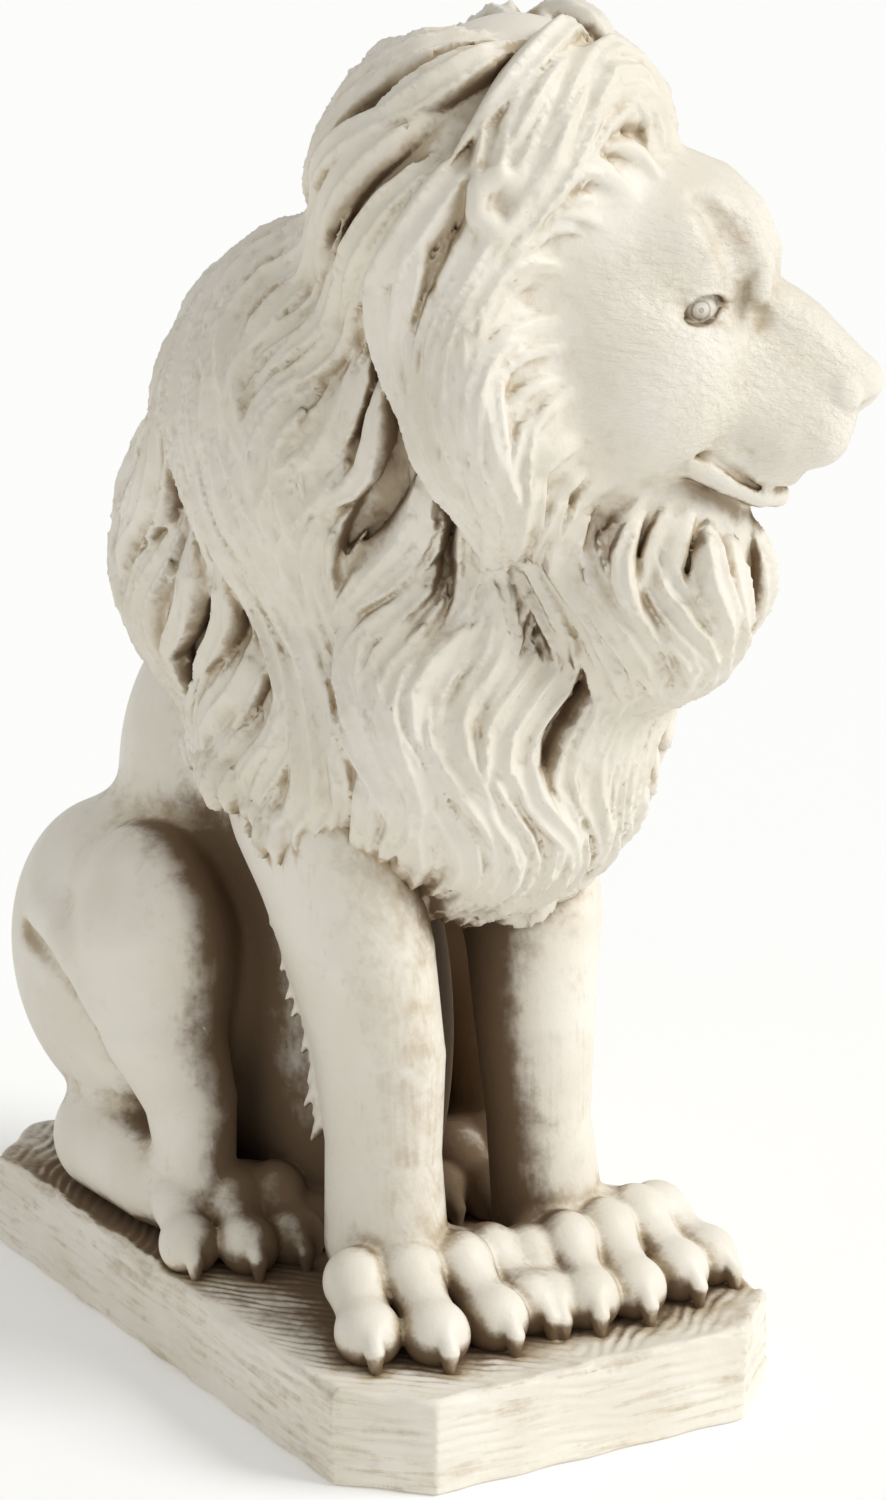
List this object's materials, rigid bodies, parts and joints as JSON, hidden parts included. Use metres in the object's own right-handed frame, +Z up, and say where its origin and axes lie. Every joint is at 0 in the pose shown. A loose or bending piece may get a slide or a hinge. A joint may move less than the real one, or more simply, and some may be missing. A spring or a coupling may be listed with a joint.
{
  "type": "lion statue",
  "caption": "Seated lion with turned head and full curling mane, cast in one with a low cut-corner plinth; stands by its own weight as a garden or doorway figure",
  "frame": {"origin": "middle of the plinth's underside, which stands on the ground", "axes": "+Z up, the lion's body faces -Y, its left side is +X; the head is turned about 50 degrees to its left"},
  "size_m": [0.3049, 0.4789, 0.7376],
  "materials": {
    "cast_stone": "ivory cast stone with a brown antique wash in the hollows, soft satin"
  },
  "bodies": {
    "root": {"lion_on_plinth": "cast_stone"}
  },
  "joints": []
}
